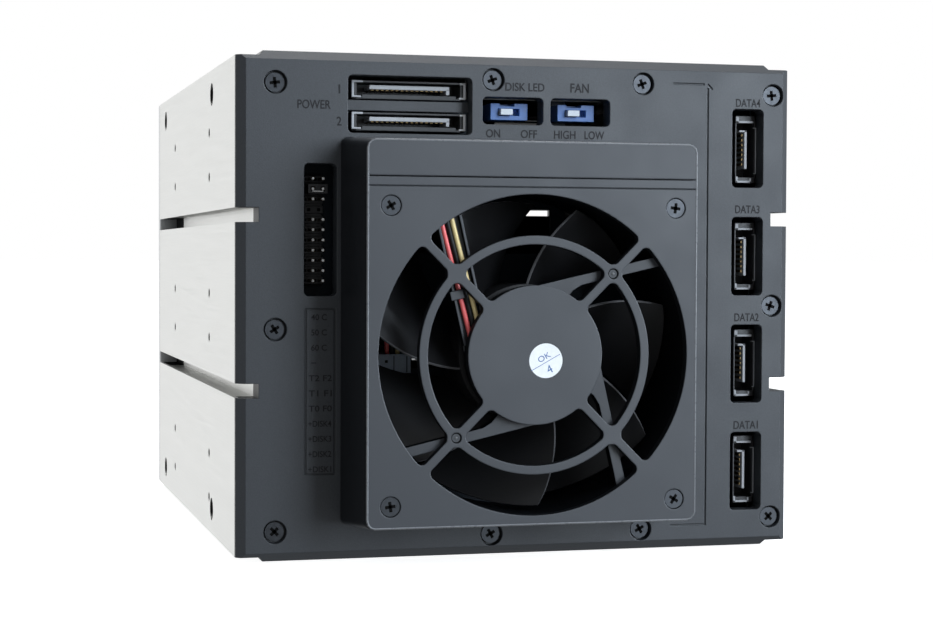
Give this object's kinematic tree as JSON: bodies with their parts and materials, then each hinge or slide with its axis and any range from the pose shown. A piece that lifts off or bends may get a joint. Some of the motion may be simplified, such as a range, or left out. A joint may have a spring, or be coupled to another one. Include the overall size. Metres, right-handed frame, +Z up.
{
  "type": "hot-swap drive cage",
  "caption": "Box-shaped hot-swap drive cage with grooved aluminium sides, pull-out drive trays at one end and a backplane with an exhaust fan at the other.",
  "frame": {"origin": "centre of the footprint, on the surface that the cage stands on", "axes": "+Y from the drive trays to the fan, +Z up, +X to the right as seen from the trays"},
  "size_m": [0.1454, 0.21, 0.1257],
  "materials": {
    "side_metal": "fine brushed, along the cage",
    "cover_metal": "fine brushed",
    "bezel_metal": "satin",
    "rear_plastic": "fine textured",
    "fan_box_plastic": "fine textured",
    "guard_plastic": "smooth satin",
    "fan_plastic": "satin",
    "blade_plastic": "satin",
    "dark_screw": "black zinc",
    "steel": "turned",
    "bronze": "sintered",
    "winding": "enamelled wire",
    "label_film": "smooth",
    "lead_insulation": "smooth",
    "connector_plastic": "smooth",
    "board_laminate": "solder mask",
    "socket_grey": "smooth",
    "socket_black": "smooth",
    "gold_plate": "polished",
    "switch_blue": "smooth",
    "knob_white": "smooth",
    "guide_plastic": "satin",
    "tray_plastic": "fine textured",
    "lever_metal": "anodised",
    "latch_plastic": "satin",
    "lock_metal": "plated",
    "lamp_clear": "clear"
  },
  "bodies": {
    "cage": {"side_panel_left": "side_metal", "side_panel_right": "side_metal", "top_cover": "cover_metal", "bottom_cover": "cover_metal", "rear_plate": "rear_plastic", "rear_plate_screws": "dark_screw", "fan_box": "fan_box_plastic", "fan_guard": "guard_plastic", "fan_guard_screws": "dark_screw", "inspection_label": "label_film", "fan_frame": "fan_plastic", "fan_stator": "winding", "fan_bearing": "bronze", "fan_leads": "lead_insulation", "fan_connector": "connector_plastic", "backplane_board": "board_laminate", "board_screws": "steel", "power_sockets": "socket_grey", "data_sockets": "socket_black", "drive_sockets": "socket_black", "contact_pins": "gold_plate", "pin_header": "socket_black", "buzzer": "socket_black", "switch_bodies": "switch_blue", "drive_guides": "guide_plastic", "front_frame": "guide_plastic", "front_bezel": "bezel_metal"},
    "rotor": {"fan_rotor": "blade_plastic", "fan_shaft": "steel"},
    "led_switch": {"led_switch_knob": "knob_white"},
    "fan_switch": {"fan_switch_knob": "knob_white"},
    "jumper": {"jumper_cap": "socket_black"},
    "tray_1": {"tray_1": "tray_plastic", "lever_pin_1": "steel", "latch_spring_1": "steel", "light_pipes_1": "lamp_clear"},
    "lever_1": {"lever_1": "lever_metal"},
    "latch_1": {"latch_1": "latch_plastic"},
    "key_lock_1": {"key_lock_1": "lock_metal"},
    "tray_2": {"tray_2": "tray_plastic", "lever_pin_2": "steel", "latch_spring_2": "steel", "light_pipes_2": "lamp_clear"},
    "lever_2": {"lever_2": "lever_metal"},
    "latch_2": {"latch_2": "latch_plastic"},
    "key_lock_2": {"key_lock_2": "lock_metal"},
    "tray_3": {"tray_3": "tray_plastic", "lever_pin_3": "steel", "latch_spring_3": "steel", "light_pipes_3": "lamp_clear"},
    "lever_3": {"lever_3": "lever_metal"},
    "latch_3": {"latch_3": "latch_plastic"},
    "key_lock_3": {"key_lock_3": "lock_metal"},
    "tray_4": {"tray_4": "tray_plastic", "lever_pin_4": "steel", "latch_spring_4": "steel", "light_pipes_4": "lamp_clear"},
    "lever_4": {"lever_4": "lever_metal"},
    "latch_4": {"latch_4": "latch_plastic"},
    "key_lock_4": {"key_lock_4": "lock_metal"}
  },
  "joints": [
    {"name": "fan_spin", "type": "hinge", "parent": "cage", "child": "rotor", "pos_m": [0.0037, 0.0875, 0.05165], "axis": [0, 1, 0], "continuous": true},
    {"name": "led_switch_slide", "type": "slide", "parent": "cage", "child": "led_switch", "axis": [-1, 0, 0], "range_m": [0, 0.002]},
    {"name": "fan_switch_slide", "type": "slide", "parent": "cage", "child": "fan_switch", "axis": [-1, 0, 0], "range_m": [0, 0.002]},
    {"name": "jumper_pull", "type": "slide", "parent": "cage", "child": "jumper", "axis": [0, 1, 0], "range_m": [0, 0.008]},
    {"name": "tray_slide_1", "type": "slide", "parent": "cage", "child": "tray_1", "axis": [0, -1, 0], "range_m": [0, 0.16]},
    {"name": "lever_swing_1", "type": "hinge", "parent": "tray_1", "child": "lever_1", "pos_m": [0.05, -0.1006, 0.01855], "axis": [0, 0, 1], "range_deg": [0, 80]},
    {"name": "latch_slide_1", "type": "slide", "parent": "tray_1", "child": "latch_1", "axis": [-1, 0, 0], "range_m": [0, 0.002], "stiffness_N_per_m": 300},
    {"name": "key_lock_turn_1", "type": "hinge", "parent": "tray_1", "child": "key_lock_1", "pos_m": [-0.0584, -0.0985, 0.01855], "axis": [0, 1, 0], "range_deg": [0, 90]},
    {"name": "tray_slide_2", "type": "slide", "parent": "cage", "child": "tray_2", "axis": [0, -1, 0], "range_m": [0, 0.16]},
    {"name": "lever_swing_2", "type": "hinge", "parent": "tray_2", "child": "lever_2", "pos_m": [0.05, -0.1006, 0.04805], "axis": [0, 0, 1], "range_deg": [0, 80]},
    {"name": "latch_slide_2", "type": "slide", "parent": "tray_2", "child": "latch_2", "axis": [-1, 0, 0], "range_m": [0, 0.002], "stiffness_N_per_m": 300},
    {"name": "key_lock_turn_2", "type": "hinge", "parent": "tray_2", "child": "key_lock_2", "pos_m": [-0.0584, -0.0985, 0.04805], "axis": [0, 1, 0], "range_deg": [0, 90]},
    {"name": "tray_slide_3", "type": "slide", "parent": "cage", "child": "tray_3", "axis": [0, -1, 0], "range_m": [0, 0.16]},
    {"name": "lever_swing_3", "type": "hinge", "parent": "tray_3", "child": "lever_3", "pos_m": [0.05, -0.1006, 0.07755], "axis": [0, 0, 1], "range_deg": [0, 80]},
    {"name": "latch_slide_3", "type": "slide", "parent": "tray_3", "child": "latch_3", "axis": [-1, 0, 0], "range_m": [0, 0.002], "stiffness_N_per_m": 300},
    {"name": "key_lock_turn_3", "type": "hinge", "parent": "tray_3", "child": "key_lock_3", "pos_m": [-0.0584, -0.0985, 0.07755], "axis": [0, 1, 0], "range_deg": [0, 90]},
    {"name": "tray_slide_4", "type": "slide", "parent": "cage", "child": "tray_4", "axis": [0, -1, 0], "range_m": [0, 0.16]},
    {"name": "lever_swing_4", "type": "hinge", "parent": "tray_4", "child": "lever_4", "pos_m": [0.05, -0.1006, 0.10705], "axis": [0, 0, 1], "range_deg": [0, 80]},
    {"name": "latch_slide_4", "type": "slide", "parent": "tray_4", "child": "latch_4", "axis": [-1, 0, 0], "range_m": [0, 0.002], "stiffness_N_per_m": 300},
    {"name": "key_lock_turn_4", "type": "hinge", "parent": "tray_4", "child": "key_lock_4", "pos_m": [-0.0584, -0.0985, 0.10705], "axis": [0, 1, 0], "range_deg": [0, 90]}
  ]
}
